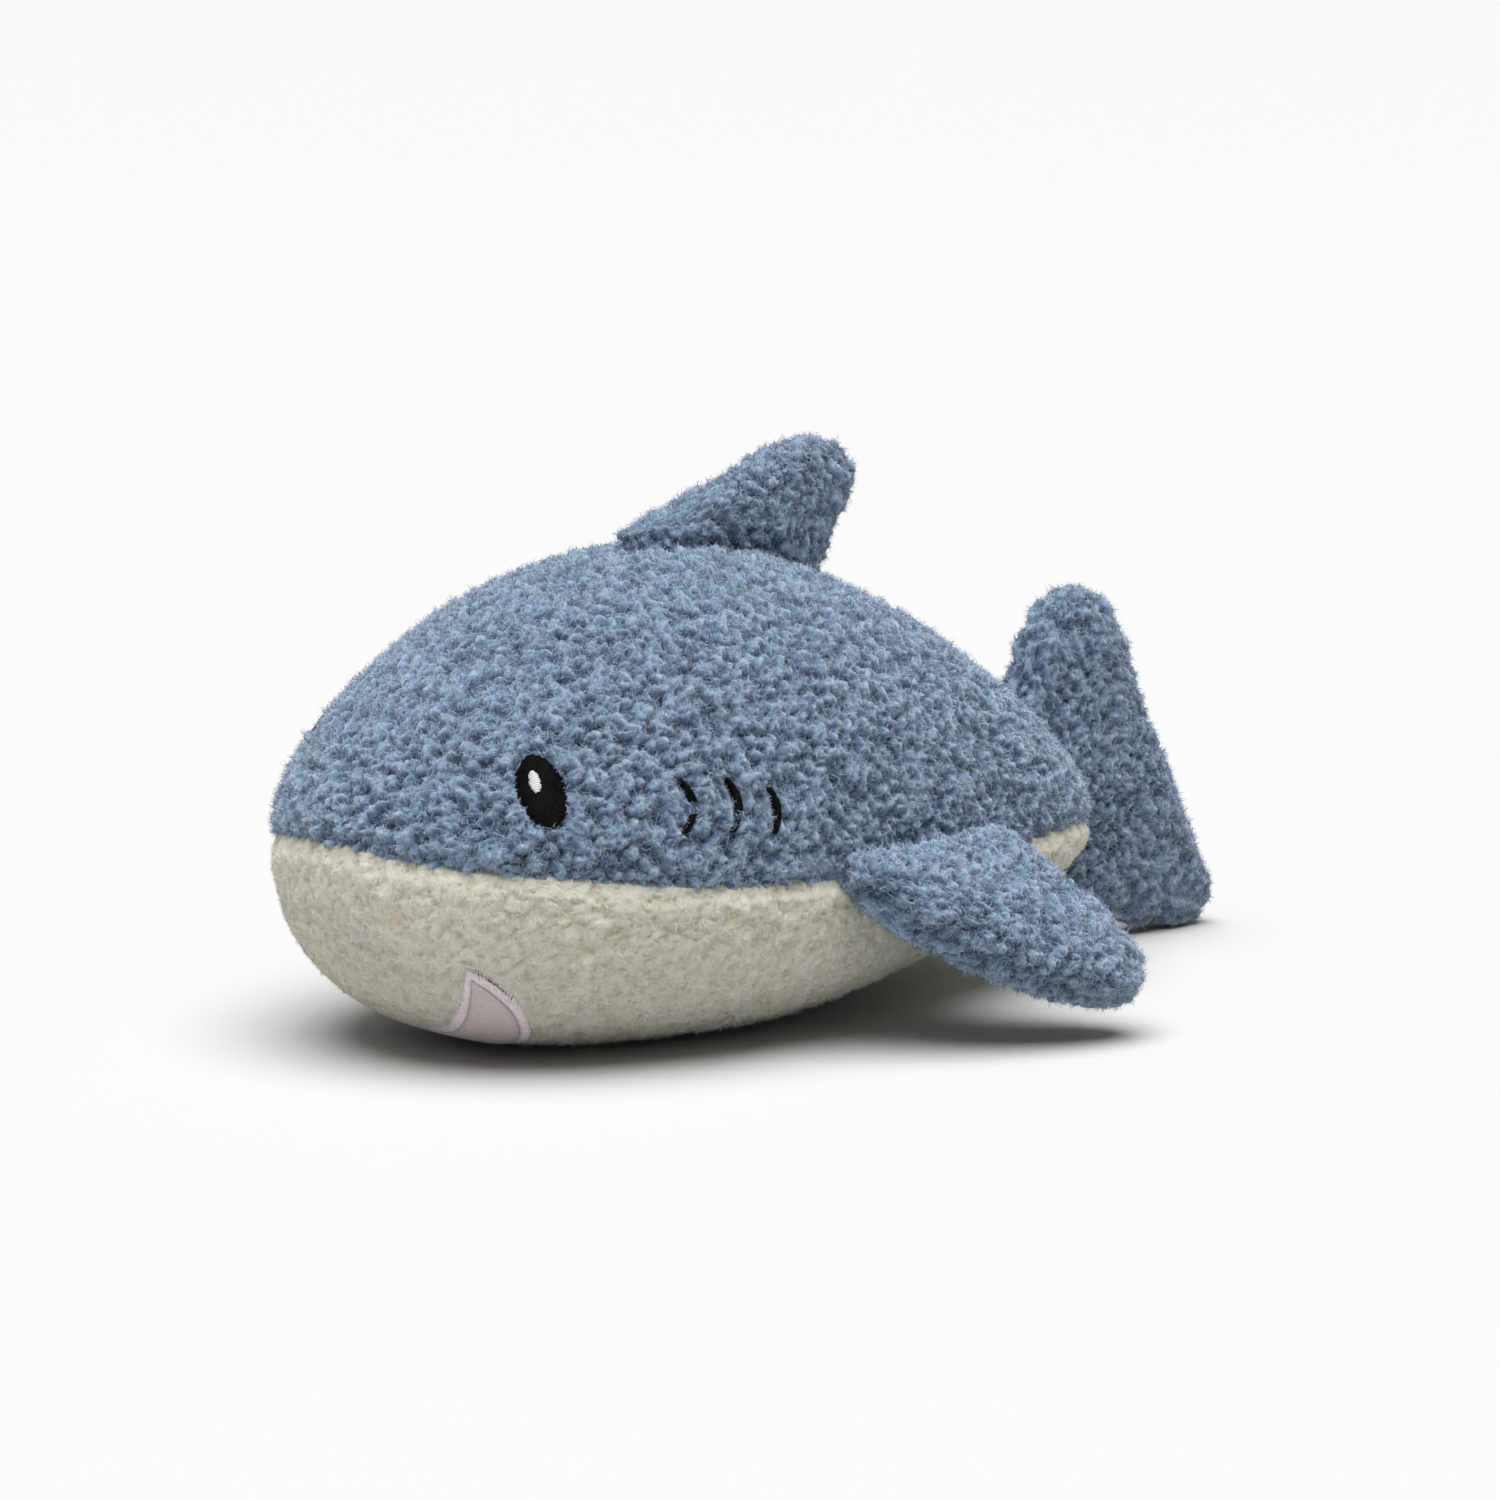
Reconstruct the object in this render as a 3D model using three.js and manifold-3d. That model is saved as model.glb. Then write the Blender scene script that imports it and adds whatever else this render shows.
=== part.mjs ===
// Plush shark: a stuffed boucle body with sewn-in dorsal, pectoral and tail fins, embroidered eyes
// and gills and an appliqued mouth. Millimetres, +Z up, nose towards -X, tail towards +X.
// The shark is symmetric about the plane y = 0. Its left side is -Y. The origin is on the surface
// it rests on, below the middle of its length.
import * as THREE from 'three';
import { mergeVertices } from 'three/addons/utils/BufferGeometryUtils.js';
import Module from 'manifold-3d';

const wasm = await Module();
wasm.setup();

// ---------------------------------------------------------------- driving dimensions

const BODY_LENGTH = 188;
const OVERALL_LENGTH = 239;
const NOSE_X = -OVERALL_LENGTH / 2;

// Body sections, from the nose to the tail end. The stations are evenly spaced in angle around the
// length, so they crowd towards both rounded ends.
const HALF_WIDTH = [0, 25, 43.5, 53.5, 54.5, 47.5, 37.5, 23.5, 0];
const BACK_HEIGHT = [44.5, 56, 75, 91, 94.5, 83, 64.5, 46.3, 30.5];
const BELLY_HEIGHT = [44.5, 18.5, 4, -1, -1, 6, 13.5, 21.5, 30.5];
const SEAM_HEIGHT = [44.5, 41.5, 39, 35.5, 34, 33, 33, 32, 30.5];
const BACK_FULLNESS = 2.1; // superellipse exponents, 2 being a plain ellipse
const BELLY_FULLNESS = 2.3;
const BODY_STEPS = 28;
const FILL_STEPS = 16;

const CLOTH = 3; // boucle cloth with its pile
const SEAM_GAP = 0.4; // between two sewn pieces
const FILL_GAP = 0.6; // between the cloth and the stuffing

const FIN_RINGS = 3;
const FIN_STEPS = 22;
const FIN_CLOTH = 2.6;
const ROOT_GAP = 2.2; // from a fin's root edge to the body cloth
const PECTORAL_CLEARANCE = 3; // the body's side bows out past the pectoral's straight root line

// Fins drawn in the middle plane, as points (x, z); their root edges follow the body's profile.
const DORSAL = {
  thickness: 14,
  rootStations: [0.6, 0.43],
  outline: [[-37.5, 99.8], [-27.5, 103.4], [-17, 106.4], [-9.5, 110], [-1.5, 113], [6, 113.2], [13, 110],
    [15.3, 105.2], [12.5, 99.5], [9.3, 94.5]],
};
const TAIL = {
  thickness: 16,
  rootStations: [0.85, 1.06],
  outline: [[78, 12.5], [86.5, 5.2], [98, 1], [109, 0.5], [116.5, 1], [119.3, 4.8], [116.8, 11.5],
    [111.5, 22], [105.6, 33.5], [99.8, 44.5], [95.2, 54], [90.8, 66], [86.3, 73.6], [79.5, 77.8], [71, 75.5],
    [65.5, 69.5], [62, 61]],
};
// The paddle of a pectoral fin: u runs back along its root seam and v outwards along the fin.
const PECTORAL = {
  thickness: 17,
  rootFront: -36.5,
  rootRear: 10,
  rootHeight: 35,
  droop: 40,
  outline: [[3, 7], [7.5, 13.5], [13.5, 20], [20.5, 26.5], [28, 32.3], [36, 37], [44, 40.2], [51, 40.4],
    [55.5, 37.4], [57.5, 31.5], [57, 24], [54, 15.5], [51, 7]],
};

const EMBROIDERY = { lift: 0.35, thick: 1.1 };
const HIGHLIGHT = { lift: 1.8, thick: 0.7 };
const EYE = { x: -94.2, z: 56.1, width: 9.6, height: 15.2, lean: 15.5 }; // degrees, the top forwards
const EYE_LIGHT = { width: 2.6, height: 4.6, forward: 0.7, up: 1.9 };
const GILLS = [
  { x: -69, z: 52.1, height: 10.5, bulge: 2.4 },
  { x: -59.2, z: 51.4, height: 10.5, bulge: 1.9 },
  { x: -50.2, z: 49.5, height: 9, bulge: 1.3 },
];
const GILL_WIDTH = 1.6;

// The mouth is a grin drawn on a plane that faces forwards and down (3 : 4) below the nose. The
// points are half of its outline: distance from the middle plane, then distance up and forwards.
const MOUTH_X = -88;
const MOUTH = {
  lower: [[0, -3.5], [11, -2.6], [20.7, 0.1], [27.4, 7.4], [30.7, 13.7], [31.2, 19.8], [29.4, 25.2],
    [27.3, 27.2]],
  upper: [[27.3, 27.2], [24.4, 22.6], [17.7, 16.5], [9, 10.8], [0, 8.8]],
};
const FELT = {
  lower: [[0, -1.2], [10, -0.5], [18.4, 1.6], [24.8, 6.6], [28.4, 12.9], [28.9, 19], [27.6, 24.4]],
  upper: [[27.6, 24.4], [25.4, 21], [19.8, 15.2], [10, 9], [0, 6.6]],
};

// ---------------------------------------------------------------- colours

const BLUE_BOUCLE = 0x7088aa;
const CREAM_BOUCLE = 0xd6d3c4;
const POLYESTER_FILL = 0xf2f2ee;
const BLACK_THREAD = 0x0c0c0c;
const WHITE_THREAD = 0xdcdcdc;
const PINK_FELT = 0xd3bcbf;
const LILAC_THREAD = 0xd2c2cf;

// ---------------------------------------------------------------- solids and booleans

function toManifold(geometry) {
  const bare = geometry.clone();
  bare.deleteAttribute('normal');
  bare.deleteAttribute('uv');
  const merged = mergeVertices(bare, 1e-4);
  return new wasm.Manifold(new wasm.Mesh({
    numProp: 3,
    vertProperties: merged.attributes.position.array,
    triVerts: new Uint32Array(merged.index.array),
  }));
}

function fromManifold(solid) {
  const { vertProperties, triVerts } = solid.getMesh();
  const geometry = new THREE.BufferGeometry();
  geometry.setAttribute('position', new THREE.BufferAttribute(vertProperties, 3));
  geometry.setIndex(new THREE.BufferAttribute(triVerts, 1));
  return geometry;
}

function meshFrom(vertices, triangles) {
  const geometry = new THREE.BufferGeometry();
  geometry.setAttribute('position', new THREE.Float32BufferAttribute(vertices.flatMap((v) => v.toArray()), 3));
  geometry.setIndex(triangles);
  geometry.computeVertexNormals();
  return geometry;
}

// A prism standing on a closed outline, from `low` to `high` along the outline's own z.
function prism(outline, low, high) {
  const shape = new THREE.Shape(outline);
  return new THREE.ExtrudeGeometry(shape, { depth: high - low, bevelEnabled: false }).translate(0, 0, low);
}

// ---------------------------------------------------------------- the body's surface

// Catmull-Rom through evenly spaced stations. Past an end the values are mirrored through it,
// which keeps the nose and the tail end round.
function atStation(values, t) {
  const last = values.length - 1;
  const place = t * last;
  const first = Math.min(Math.floor(place), last - 1);
  const value = (i) => {
    if (i < 0) return 2 * values[0] - values[-i];
    if (i > last) return 2 * values[last] - values[2 * last - i];
    return values[i];
  };
  const [a, b, c, d] = [-1, 0, 1, 2].map((step) => value(first + step));
  const f = place - first;
  return b + 0.5 * f * (c - a + f * (2 * a - 5 * b + 4 * c - d + f * (3 * (b - c) + d - a)));
}

const superPower = (value, fullness) => Math.sign(value) * Math.abs(value) ** (2 / fullness);

// t runs from the nose (0) to the tail end (1); turn goes round the section from the right-hand
// side seam (0) over the back (a quarter) to the left-hand seam (a half) and under the belly.
function bodyPoint(t, turn) {
  const angle = turn * 2 * Math.PI;
  const overSeam = Math.sin(angle) >= 0;
  const fullness = overSeam ? BACK_FULLNESS : BELLY_FULLNESS;
  const seam = atStation(SEAM_HEIGHT, t);
  const reach = overSeam ? atStation(BACK_HEIGHT, t) - seam : seam - atStation(BELLY_HEIGHT, t);
  return new THREE.Vector3(
    NOSE_X + (BODY_LENGTH / 2) * (1 - Math.cos(Math.PI * t)),
    atStation(HALF_WIDTH, t) * superPower(Math.cos(angle), fullness),
    Math.max(0, seam + reach * superPower(Math.sin(angle), fullness)),
  );
}

// The body as a closed solid, its surface moved outwards by `offset`; the flat rest stays flat.
function bodySolid(offset, steps) {
  const rings = [];
  for (let i = 1; i < steps; i++) {
    rings.push(Array.from({ length: steps }, (_, j) => bodyPoint(i / steps, j / steps)));
  }
  const vertices = [...rings.flat(), bodyPoint(0, 0), bodyPoint(1, 0)];
  const nose = vertices.length - 2;
  const tail = vertices.length - 1;
  const triangles = [];
  for (let j = 0; j < steps; j++) {
    const next = (j + 1) % steps;
    triangles.push(nose, next, j);
    for (let i = 0; i < steps - 2; i++) {
      const near = i * steps;
      const far = near + steps;
      triangles.push(near + j, near + next, far + next, near + j, far + next, far + j);
    }
    const lastRing = (steps - 2) * steps;
    triangles.push(tail, lastRing + j, lastRing + next);
  }
  const normals = meshFrom(vertices, triangles).attributes.normal;
  const outward = vertices.map((_, i) => new THREE.Vector3().fromBufferAttribute(normals, i));
  const moved = vertices.map((vertex, i) => vertex.clone().addScaledVector(outward[i], offset));
  return toManifold(meshFrom(moved, triangles));
}

// Where a sideways ray from the middle plane meets the left (-Y) side, at a given x and z.
function leftSidePoint(x, z) {
  const t = Math.acos(1 - (2 * (x - NOSE_X)) / BODY_LENGTH) / Math.PI;
  let [low, high] = z > atStation(SEAM_HEIGHT, t) ? [0.5, 0.25] : [0.5, 0.75];
  for (let i = 0; i < 40; i++) {
    const middle = (low + high) / 2;
    const seam = bodyPoint(t, 0.5).z;
    if (Math.abs(bodyPoint(t, middle).z - seam) > Math.abs(z - seam)) high = middle;
    else low = middle;
  }
  return bodyPoint(t, low);
}

// ---------------------------------------------------------------- body panels and stuffing

// Everything above (+1) or below (-1) the side seam, as a prism across the whole body.
function seamSide(side) {
  const outline = [];
  for (let i = 0; i <= BODY_STEPS; i++) {
    const t = i / BODY_STEPS;
    outline.push(new THREE.Vector2(bodyPoint(t, 0).x, atStation(SEAM_HEIGHT, t) + (side * SEAM_GAP) / 2));
  }
  const beyond = 10;
  outline[0].x -= beyond;
  outline[BODY_STEPS].x += beyond;
  const far = side > 0 ? BODY_LENGTH : -BODY_LENGTH;
  outline.push(new THREE.Vector2(outline[BODY_STEPS].x, far), new THREE.Vector2(outline[0].x, far));
  return toManifold(prism(outline, -BODY_LENGTH, BODY_LENGTH).rotateX(Math.PI / 2));
}

// Everything to the left of the back seam, which runs along the middle plane.
function leftHalf() {
  const box = new THREE.BoxGeometry(2 * OVERALL_LENGTH, BODY_LENGTH, 2 * BODY_LENGTH);
  return toManifold(box.translate(0, -(BODY_LENGTH + SEAM_GAP) / 2, 0));
}

// ---------------------------------------------------------------- fins

// A stretch of the body's middle-plane profile, moved out by the root gap. Stations past 1 carry
// on round the tail end and back along the belly.
function rootEdge([from, to], count) {
  const profile = (s) => (s <= 1 ? bodyPoint(s, 0.25) : bodyPoint(2 - s, 0.75));
  const nudge = 0.002;
  return Array.from({ length: count }, (_, i) => {
    const station = from + ((to - from) * i) / (count - 1);
    const point = profile(station);
    const along = profile(station + nudge).sub(profile(station - nudge)).normalize();
    return new THREE.Vector2(point.x - along.z * ROOT_GAP, point.z + along.x * ROOT_GAP);
  });
}

// A closed curve through the points, anticlockwise and evenly stepped.
function smoothOutline(points) {
  const corners = points.map((p) => new THREE.Vector3(p.x, p.y, 0));
  const curve = new THREE.CatmullRomCurve3(corners, true, 'centripetal');
  const spaced = curve.getSpacedPoints(FIN_STEPS).slice(0, FIN_STEPS);
  const outline = spaced.map((p) => new THREE.Vector2(p.x, p.y));
  return THREE.ShapeUtils.isClockWise(outline) ? outline.reverse() : outline;
}

const byPairs = (pairs) => pairs.map(([x, y]) => new THREE.Vector2(x, y));

// Nested copies of the outline, domed along +z: from the rim (first) to the middle (last, a point).
function dome(outline, inset, height) {
  const centre = outline.reduce((sum, p) => sum.add(p), new THREE.Vector2()).divideScalar(outline.length);
  const meanRadius = outline.reduce((sum, p) => sum + p.distanceTo(centre), 0) / outline.length;
  const scale = 1 - inset / meanRadius;
  const rings = [];
  for (let k = 0; k < FIN_RINGS; k++) {
    const angle = (k / FIN_RINGS) * (Math.PI / 2);
    rings.push(outline.map((p) => {
      const q = p.clone().sub(centre).multiplyScalar(scale * Math.cos(angle)).add(centre);
      return new THREE.Vector3(q.x, q.y, height * Math.sin(angle));
    }));
  }
  rings.push([new THREE.Vector3(centre.x, centre.y, height)]);
  return rings;
}

// Triangles over a dome whose rings start at vertex `first`; `flip` turns them to face -z.
function domeTriangles(first, count, flip) {
  const triangles = [];
  const add = (a, b, c) => triangles.push(...(flip ? [a, c, b] : [a, b, c]));
  for (let j = 0; j < count; j++) {
    const next = (j + 1) % count;
    for (let k = 0; k < FIN_RINGS - 1; k++) {
      const rim = first + k * count;
      add(rim + j, rim + next, rim + count + next);
      add(rim + j, rim + count + next, rim + count + j);
    }
    const inner = first + (FIN_RINGS - 1) * count;
    add(inner + j, inner + next, first + FIN_RINGS * count);
  }
  return triangles;
}

// One cloth half of a fin, hollowed from the inside. side is +1 for the half on +z, -1 for -z.
function finSkin(outline, thickness, side) {
  const flat = outline.length;
  const outer = dome(outline, 0, thickness / 2 - SEAM_GAP / 2).flat();
  const inner = dome(outline, FIN_CLOTH, thickness / 2 - SEAM_GAP / 2 - FIN_CLOTH).flat();
  const vertices = [...outer, ...inner].map((v) => new THREE.Vector3(v.x, v.y, side * (v.z + SEAM_GAP / 2)));
  const triangles = [
    ...domeTriangles(0, flat, side < 0),
    ...domeTriangles(outer.length, flat, side > 0),
  ];
  for (let j = 0; j < flat; j++) {
    const next = (j + 1) % flat;
    const rim = [j, outer.length + j, outer.length + next, next];
    if (side < 0) rim.reverse();
    triangles.push(rim[0], rim[1], rim[2], rim[0], rim[2], rim[3]);
  }
  return meshFrom(vertices, triangles);
}

function finFill(outline, thickness) {
  const flat = outline.length;
  const height = thickness / 2 - FIN_CLOTH - FILL_GAP;
  const upper = dome(outline, FIN_CLOTH + 2 * FILL_GAP, height).flat();
  const lower = upper.slice(flat).map((v) => new THREE.Vector3(v.x, v.y, -v.z));
  const below = (i) => (i < flat ? i : i - flat + upper.length);
  const triangles = [...domeTriangles(0, flat, false), ...domeTriangles(0, flat, true).map(below)];
  return meshFrom([...upper, ...lower], triangles);
}

// ---------------------------------------------------------------- embroidery and applique

// A thin solid lying on the body, inside an outline that is drawn on a frame's xy plane and
// projected along its z axis.
function onBody(outline, frame, { lift, thick }) {
  const reach = 14;
  const cutter = toManifold(prism(outline, -reach, reach).applyMatrix4(frame));
  const layer = bodySolid(lift + thick, BODY_STEPS).subtract(bodySolid(lift, BODY_STEPS));
  return layer.intersect(cutter);
}

function ellipse(width, height, centreX = 0, centreY = 0) {
  return new THREE.EllipseCurve(centreX, centreY, width / 2, height / 2).getPoints(16).slice(0, 16);
}

// A frame standing on the body's left side: z points out, y up the body and x towards the tail.
function sideFrame({ x, z }) {
  const step = 1.5;
  const back = leftSidePoint(x + step, z).sub(leftSidePoint(x - step, z)).normalize();
  const up = leftSidePoint(x, z + step).sub(leftSidePoint(x, z - step)).normalize();
  const out = back.clone().cross(up).normalize();
  return new THREE.Matrix4().makeBasis(up.clone().cross(out), up, out).setPosition(leftSidePoint(x, z));
}

// A bar bowed towards the tail, narrowing to both ends.
function gillOutline({ height, bulge }) {
  const steps = 6;
  const side = (direction) => Array.from({ length: steps + 1 }, (_, i) => {
    const along = (2 * i) / steps - 1;
    const halfWidth = (GILL_WIDTH / 2) * Math.cos(along * 1.2);
    const bow = bulge * (0.5 - along * along);
    return new THREE.Vector2(bow + direction * halfWidth, (along * height) / 2);
  });
  return [...side(1), ...side(-1).reverse()];
}

function grinOutline({ lower, upper }) {
  const lip = (pairs, count) => new THREE.SplineCurve(byPairs(pairs)).getPoints(count);
  const half = [...lip(lower, 9), ...lip(upper, 6).slice(1)];
  const otherHalf = half.slice(1, -1).reverse().map((p) => new THREE.Vector2(-p.x, p.y));
  return [...half, ...otherHalf];
}

// The same anticlockwise outline, spread outwards by a little.
function spread(outline, distance) {
  const count = outline.length;
  return outline.map((p, i) => {
    const along = outline[(i + 1) % count].clone().sub(outline[(i + count - 1) % count]).normalize();
    return p.clone().add(new THREE.Vector2(along.y, -along.x).multiplyScalar(distance));
  });
}

function mouthFrame() {
  const out = new THREE.Vector3(-0.6, 0, -0.8);
  const up = new THREE.Vector3(-0.8, 0, 0.6);
  return new THREE.Matrix4().makeBasis(up.clone().cross(out), up, out).setPosition(MOUTH_X, 0, 0);
}

// ---------------------------------------------------------------- assembly

const shark = new THREE.Group();

function addTo(group, name, geometry, color) {
  const cloth = new THREE.MeshStandardMaterial({ color, roughness: 0.95, metalness: 0 });
  const mesh = new THREE.Mesh(geometry, cloth);
  mesh.name = name;
  group.add(mesh);
}

// The same solid on the other side of the middle plane.
function mirrored(geometry) {
  const copy = geometry.clone().scale(1, -1, 1);
  const index = Array.from(copy.index.array);
  for (let i = 0; i < index.length; i += 3) {
    [index[i + 1], index[i + 2]] = [index[i + 2], index[i + 1]];
  }
  return copy.setIndex(index);
}

function addBothSides(name, leftGeometry, color) {
  addTo(shark, `${name}_left`, leftGeometry, color);
  addTo(shark, `${name}_right`, mirrored(leftGeometry), color);
}

// A fin of two cloth halves and its stuffing; the names go with the halves on local -z and +z.
function addFin(group, name, halves, points, thickness) {
  const outline = smoothOutline(points);
  addTo(group, `${name}_${halves[0]}`, finSkin(outline, thickness, -1), BLUE_BOUCLE);
  addTo(group, `${name}_${halves[1]}`, finSkin(outline, thickness, 1), BLUE_BOUCLE);
  addTo(group, `${name}_fill`, finFill(outline, thickness), POLYESTER_FILL);
}

function addBody() {
  const shell = bodySolid(0, BODY_STEPS).subtract(bodySolid(-CLOTH, FILL_STEPS));
  const upperLeft = shell.intersect(seamSide(1)).intersect(leftHalf());
  addBothSides('upper_panel', fromManifold(upperLeft), BLUE_BOUCLE);
  addTo(shark, 'belly_panel', fromManifold(shell.intersect(seamSide(-1))), CREAM_BOUCLE);
  addTo(shark, 'body_fill', fromManifold(bodySolid(-CLOTH - FILL_GAP, FILL_STEPS)), POLYESTER_FILL);
}

function addMiddleFins() {
  const upright = new THREE.Group();
  upright.rotation.x = Math.PI / 2;
  for (const [name, fin] of Object.entries({ dorsal: DORSAL, tail: TAIL })) {
    const points = [...byPairs(fin.outline), ...rootEdge(fin.rootStations, 6)];
    addFin(upright, name, ['panel_right', 'panel_left'], points, fin.thickness);
  }
  shark.add(upright);
}

// side is -1 for the left pectoral and +1 for the right.
function addPectoral(side, name) {
  const { rootFront, rootRear, rootHeight, droop, outline, thickness } = PECTORAL;
  const front = leftSidePoint(rootFront, rootHeight);
  const rear = leftSidePoint(rootRear, rootHeight);
  const along = new THREE.Vector3(rear.x - front.x, -side * (rear.y - front.y), 0);
  const length = along.length();
  along.normalize();
  const sideways = new THREE.Vector3(-side * along.y, side * along.x, 0);
  const drop = THREE.MathUtils.degToRad(droop);
  const outwards = sideways.clone().multiplyScalar(Math.cos(drop)).setZ(-Math.sin(drop));
  const corner = front.clone().setY(-side * front.y).addScaledVector(sideways, PECTORAL_CLEARANCE);
  const fin = new THREE.Group();
  const frame = new THREE.Matrix4().makeBasis(along, outwards, along.clone().cross(outwards));
  fin.applyMatrix4(frame.setPosition(corner));
  const root = [1, 2 / 3, 1 / 3, 0].map((part) => new THREE.Vector2(part * length, 0));
  const halves = side < 0 ? ['top', 'bottom'] : ['bottom', 'top'];
  addFin(fin, name, halves, [...byPairs(outline), ...root], thickness);
  shark.add(fin);
}

function addFace() {
  const lean = new THREE.Matrix4().makeRotationZ(THREE.MathUtils.degToRad(EYE.lean));
  const eyeFrame = sideFrame(EYE).multiply(lean);
  const eye = ellipse(EYE.width, EYE.height);
  addBothSides('eye', fromManifold(onBody(eye, eyeFrame, EMBROIDERY)), BLACK_THREAD);
  const light = ellipse(EYE_LIGHT.width, EYE_LIGHT.height, -EYE_LIGHT.forward, EYE_LIGHT.up);
  addBothSides('eye_light', fromManifold(onBody(light, eyeFrame, HIGHLIGHT)), WHITE_THREAD);
  GILLS.forEach((gill, i) => {
    const bar = onBody(gillOutline(gill), sideFrame(gill), EMBROIDERY);
    addBothSides(`gill_${i + 1}`, fromManifold(bar), BLACK_THREAD);
  });
}

function addMouth() {
  const frame = mouthFrame();
  const felt = grinOutline(FELT);
  const hole = toManifold(prism(spread(felt, SEAM_GAP), -OVERALL_LENGTH, OVERALL_LENGTH).applyMatrix4(frame));
  const border = onBody(grinOutline(MOUTH), frame, EMBROIDERY).subtract(hole);
  addTo(shark, 'mouth_border', fromManifold(border), LILAC_THREAD);
  addTo(shark, 'mouth_felt', fromManifold(onBody(felt, frame, EMBROIDERY)), PINK_FELT);
}

addBody();
addMiddleFins();
addPectoral(-1, 'pectoral_left');
addPectoral(1, 'pectoral_right');
addFace();
addMouth();

export default shark;
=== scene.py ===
"""Looks of the plush shark: boucle panels with real curls, satin-stitched eyes, gills and mouth border,
and a felt mouth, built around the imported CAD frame. Metres, +Z up, nose towards -X, left side -Y."""
import math

import bpy
import numpy as np
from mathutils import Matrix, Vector
from mathutils.bvhtree import BVHTree
from mathutils.kdtree import KDTree


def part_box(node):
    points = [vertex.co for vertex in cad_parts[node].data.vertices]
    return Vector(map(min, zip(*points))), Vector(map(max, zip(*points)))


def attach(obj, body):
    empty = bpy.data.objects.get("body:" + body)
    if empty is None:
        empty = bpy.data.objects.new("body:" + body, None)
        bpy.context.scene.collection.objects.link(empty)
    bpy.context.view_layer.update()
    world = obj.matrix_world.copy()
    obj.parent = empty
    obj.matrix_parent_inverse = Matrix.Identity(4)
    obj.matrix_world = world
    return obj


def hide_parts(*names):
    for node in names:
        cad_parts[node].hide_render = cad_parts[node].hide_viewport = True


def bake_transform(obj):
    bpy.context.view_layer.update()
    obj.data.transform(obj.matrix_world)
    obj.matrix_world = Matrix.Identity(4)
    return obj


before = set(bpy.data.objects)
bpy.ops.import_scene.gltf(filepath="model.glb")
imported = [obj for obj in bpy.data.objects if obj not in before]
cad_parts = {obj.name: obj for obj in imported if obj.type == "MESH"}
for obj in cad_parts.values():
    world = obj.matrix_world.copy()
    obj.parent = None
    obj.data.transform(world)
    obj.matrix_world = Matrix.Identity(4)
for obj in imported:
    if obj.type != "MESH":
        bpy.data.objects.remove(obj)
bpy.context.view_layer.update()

MM = 0.001

# ---------------------------------------------------------------- driving values

# Boucle pile: tufts of the larger radius, each covered in short bent curls of the smaller radius.
# `rise` scales how tall each stands, `cover` is how many times over they cover the cloth.
BLUE_PILE = {
    "tuft": {"radius": 1.15 * MM, "cover": 1.4, "rise": 0.85, "beads": 1},
    "curl": {"radius": 0.46 * MM, "cover": 2.1, "rise": 1.1, "beads": 6},
    "base": -0.7 * MM,
    "fibre": 0.05 * MM,
}
FIN_PILE = {
    "tuft": {"radius": 1.1 * MM, "cover": 1.4, "rise": 0.75, "beads": 1},
    "curl": {"radius": 0.46 * MM, "cover": 2.1, "rise": 1.1, "beads": 6},
    "base": -0.5 * MM,
    "fibre": 0.05 * MM,
}
CREAM_PILE = {
    "tuft": {"radius": 1.2 * MM, "cover": 1.5, "rise": 0.28, "beads": 1},
    "curl": {"radius": 0.5 * MM, "cover": 2.2, "rise": 0.5, "beads": 6},
    "base": -0.2 * MM,
    "fibre": 0.04 * MM,
}

BEAD_STEP = 0.75  # from one bead of a curl to the next, in radii
BEAD_SUNK = 0.6  # how much of a bead's radius is down in the cloth

# Loose fibres standing out of the pile, each a ribbon of two lengths.
BLUE_FUZZ = {"per_mm2": 2.7, "length": 1.4 * MM, "rise": 0.85 * MM, "width": 0.1 * MM}
CREAM_FUZZ = {"per_mm2": 1.8, "length": 1.3 * MM, "rise": 0.55 * MM, "width": 0.11 * MM}
FIBRE_RISES = (0.85, -0.1)
FIBRE_WIDTHS = (1, 0.9, 0.3)

# Cells along x, y and z of the cubes that are blown up to the body and the stuffings.
BODY_CELLS = {"upper": (470, 300, 300), "belly": (320, 206, 206)}
BODY_TREE_CELLS = (60, 36, 36)
FILL_CELLS = (36, 24, 24)
FIN_SPACING = 0.29 * MM  # between the points of a fin's cloth
FLOOR_GAP = 0.05 * MM  # the lowest that cloth and fibres reach
BODY_MIDDLE_HEIGHT = 45 * MM

# Seams: how deep the cloth turns in, and over what distance.
SEAM_REACH = 1.6 * MM
SEAM_DEPTH = 1.3 * MM
BACK_SEAM_DEPTH = 0.4 * MM
FIN_SEAM_DEPTH = 0.5 * MM
SEAM_LIP = 0.03  # how far the body's cloth runs on past the side seam, as a part of a unit direction
BODY_GIRTH = 50 * MM  # turns that part into a distance on the body
FIN_GIRTH = 18 * MM  # and on a fin

FIN_FULLNESS = 0.66
FIN_STUFFING = 0.5  # the stuffing's size as a share of the fin's
BODY_STUFFING = 0.9
ROOT_BITE = 2.5 * MM  # how far a fin's root runs into the body
ROOT_RANGE = 7.5 * MM  # an outline this near the body starts to be drawn into it,
ROOT_EASE = 4.5 * MM  # and this much nearer it is drawn in fully

SEEDS = {"back": 11, "belly": 13, "back_fibres": 14, "belly_fibres": 18, "dorsal": 21, "tail": 31,
         "pectoral_left": 41, "pectoral_right": 51, "fin_fibres": 5, "eye": 61, "eye_light": 62,
         "gill": 70, "mouth": 81}

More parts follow.
